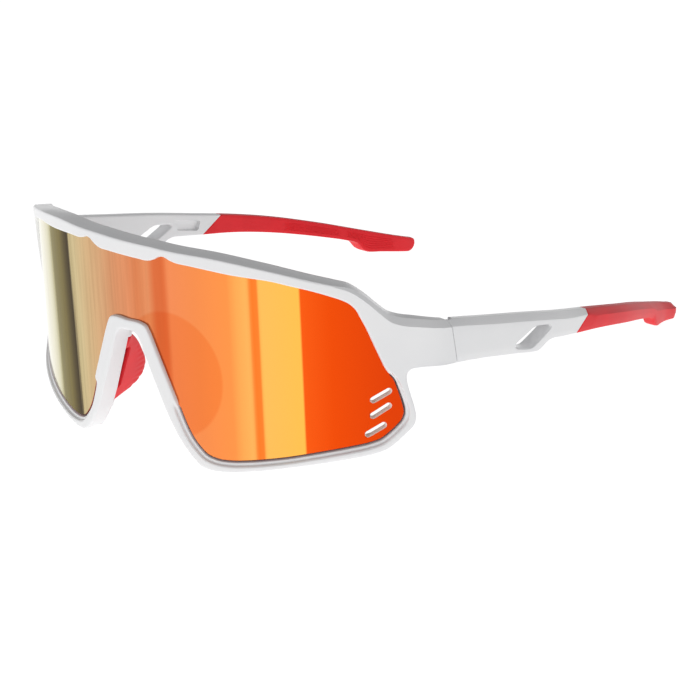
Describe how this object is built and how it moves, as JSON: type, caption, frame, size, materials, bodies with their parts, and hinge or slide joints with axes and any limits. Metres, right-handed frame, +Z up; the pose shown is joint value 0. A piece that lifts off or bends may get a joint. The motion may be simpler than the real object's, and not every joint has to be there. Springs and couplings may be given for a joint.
{
  "type": "wraparound sport sunglasses",
  "caption": "Wraparound sport sunglasses: white frame, one-piece mirrored shield lens, folding temples with red rubber sleeves, tilting nose pads.",
  "frame": {"origin": "on the surface the open pair stands on, under the middle of its bounding box", "axes": "+X the wearer's left, -Y the front of the lens, +Y the temple tips, +Z up"},
  "size_m": [0.1466, 0.1898, 0.0625],
  "materials": {
    "white_plastic": "satin gloss white moulded nylon",
    "mirror_lens": "orange-red mirror coating on tinted polycarbonate",
    "red_rubber": "soft satin red rubber",
    "steel": "plain steel",
    "core_wire": "annealed steel wire"
  },
  "bodies": {
    "front": {"frame_front": "white_plastic", "shield_lens": "mirror_lens", "hinge_screw_left": "steel", "hinge_screw_right": "steel", "nose_pad_pin_left": "steel", "nose_pad_pin_right": "steel"},
    "arm_left": {"temple_left": "white_plastic", "temple_sleeve_left": "red_rubber", "temple_core_wire_left": "core_wire"},
    "arm_right": {"temple_right": "white_plastic", "temple_sleeve_right": "red_rubber", "temple_core_wire_right": "core_wire"},
    "pad_left": {"nose_pad_left": "red_rubber"},
    "pad_right": {"nose_pad_right": "red_rubber"}
  },
  "joints": [
    {"name": "temple_fold_left", "type": "hinge", "parent": "front", "child": "arm_left", "pos_m": [0.0684, -0.04458, 0.03576], "axis": [0, 0, 1], "range_deg": [0, 86]},
    {"name": "temple_fold_right", "type": "hinge", "parent": "front", "child": "arm_right", "pos_m": [-0.0684, -0.04458, 0.03576], "axis": [0, 0, -1], "range_deg": [0, 76]},
    {"name": "nose_pad_tilt_left", "type": "hinge", "parent": "front", "child": "pad_left", "pos_m": [0.0071, -0.0856, 0.03174], "axis": [0.3977, 0.1048, -0.9115], "range_deg": [-8, 8]},
    {"name": "nose_pad_tilt_right", "type": "hinge", "parent": "front", "child": "pad_right", "pos_m": [-0.0071, -0.0856, 0.03174], "axis": [0.3977, -0.1048, 0.9115], "range_deg": [-8, 8]}
  ]
}
